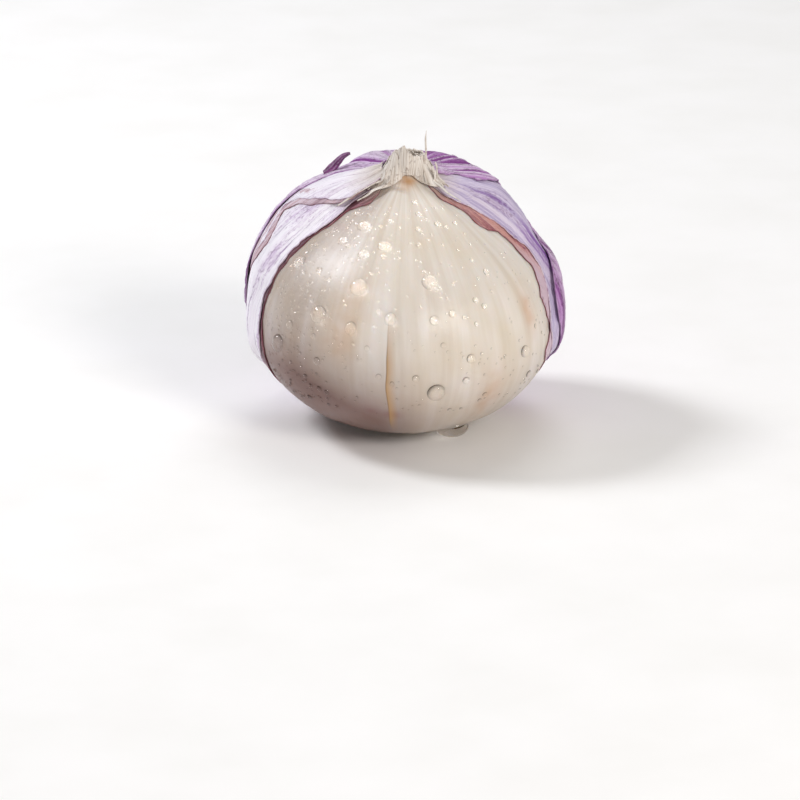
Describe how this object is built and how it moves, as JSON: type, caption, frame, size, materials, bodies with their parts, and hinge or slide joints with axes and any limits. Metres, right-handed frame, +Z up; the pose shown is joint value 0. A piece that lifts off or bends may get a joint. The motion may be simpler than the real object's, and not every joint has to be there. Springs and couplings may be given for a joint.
{
  "type": "garlic bulb",
  "caption": "Round solo garlic bulb with an ivory clove showing through torn purple-striped papery skins, standing on its root plate.",
  "frame": {"origin": "centre of the root plate's flat underside", "axes": "+Z up through the neck, -Y towards the front, where the skins are torn open, +X to the right seen from the front"},
  "size_m": [0.0423, 0.0403, 0.0397],
  "materials": {
    "clove_flesh": "moist ivory garlic flesh, satin to glossy",
    "root_plate": "dry corky plate, matte",
    "clove_skin": "thin reddish clove skin, matte paper",
    "middle_skin": "veined white to lavender skin, dry paper",
    "second_skin": "white veined skin, dry paper",
    "outer_skin": "purple-striped outer skin, dry paper with a slight sheen",
    "neck": "dried fibrous stalk stub, matte"
  },
  "bodies": {
    "root": {"clove": "clove_flesh", "root_plate": "root_plate", "clove_skin": "clove_skin", "middle_skin": "middle_skin", "second_skin": "second_skin", "outer_skin": "outer_skin", "neck": "neck"}
  },
  "joints": []
}
